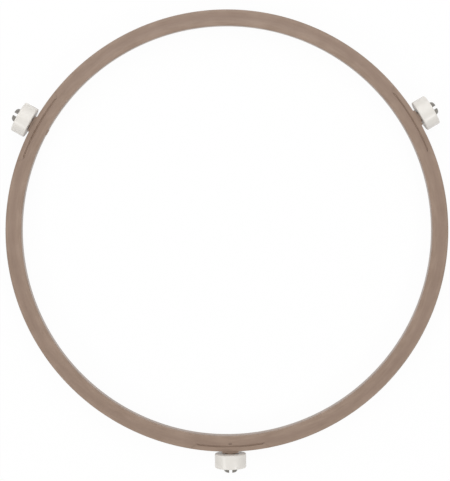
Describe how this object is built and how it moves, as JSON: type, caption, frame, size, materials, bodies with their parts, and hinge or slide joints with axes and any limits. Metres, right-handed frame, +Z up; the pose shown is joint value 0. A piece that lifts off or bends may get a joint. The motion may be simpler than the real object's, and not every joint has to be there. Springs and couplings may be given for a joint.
{
  "type": "microwave roller ring",
  "caption": "Flat plastic ring whose free-running rollers sit on split snap pins and carry a turning oven tray.",
  "frame": {"origin": "on the ring's axis, at the floor that the rollers stand on", "axes": "+Z up along the ring's axis; -Y towards the front roller, whose pin lies along -Y; +X to the right"},
  "size_m": [0.196, 0.2057, 0.014],
  "materials": {
    "ring_plastic": "moulded heat-resistant plastic, satin, brown-grey",
    "roller_plastic": "moulded plastic, smooth, off-white"
  },
  "bodies": {
    "ring": {"carrier_ring": "ring_plastic"},
    "front_roller": {"front_roller": "roller_plastic"},
    "right_roller": {"right_roller": "roller_plastic"},
    "left_roller": {"left_roller": "roller_plastic"}
  },
  "joints": [
    {"name": "front_roller_spin", "type": "hinge", "parent": "ring", "child": "front_roller", "pos_m": [0, -0.1, 0.007], "axis": [0, -1, 0], "continuous": true},
    {"name": "right_roller_spin", "type": "hinge", "parent": "ring", "child": "right_roller", "pos_m": [0.0866, 0.05, 0.007], "axis": [0.866, 0.5, 0], "continuous": true},
    {"name": "left_roller_spin", "type": "hinge", "parent": "ring", "child": "left_roller", "pos_m": [-0.0866, 0.05, 0.007], "axis": [-0.866, 0.5, 0], "continuous": true}
  ]
}
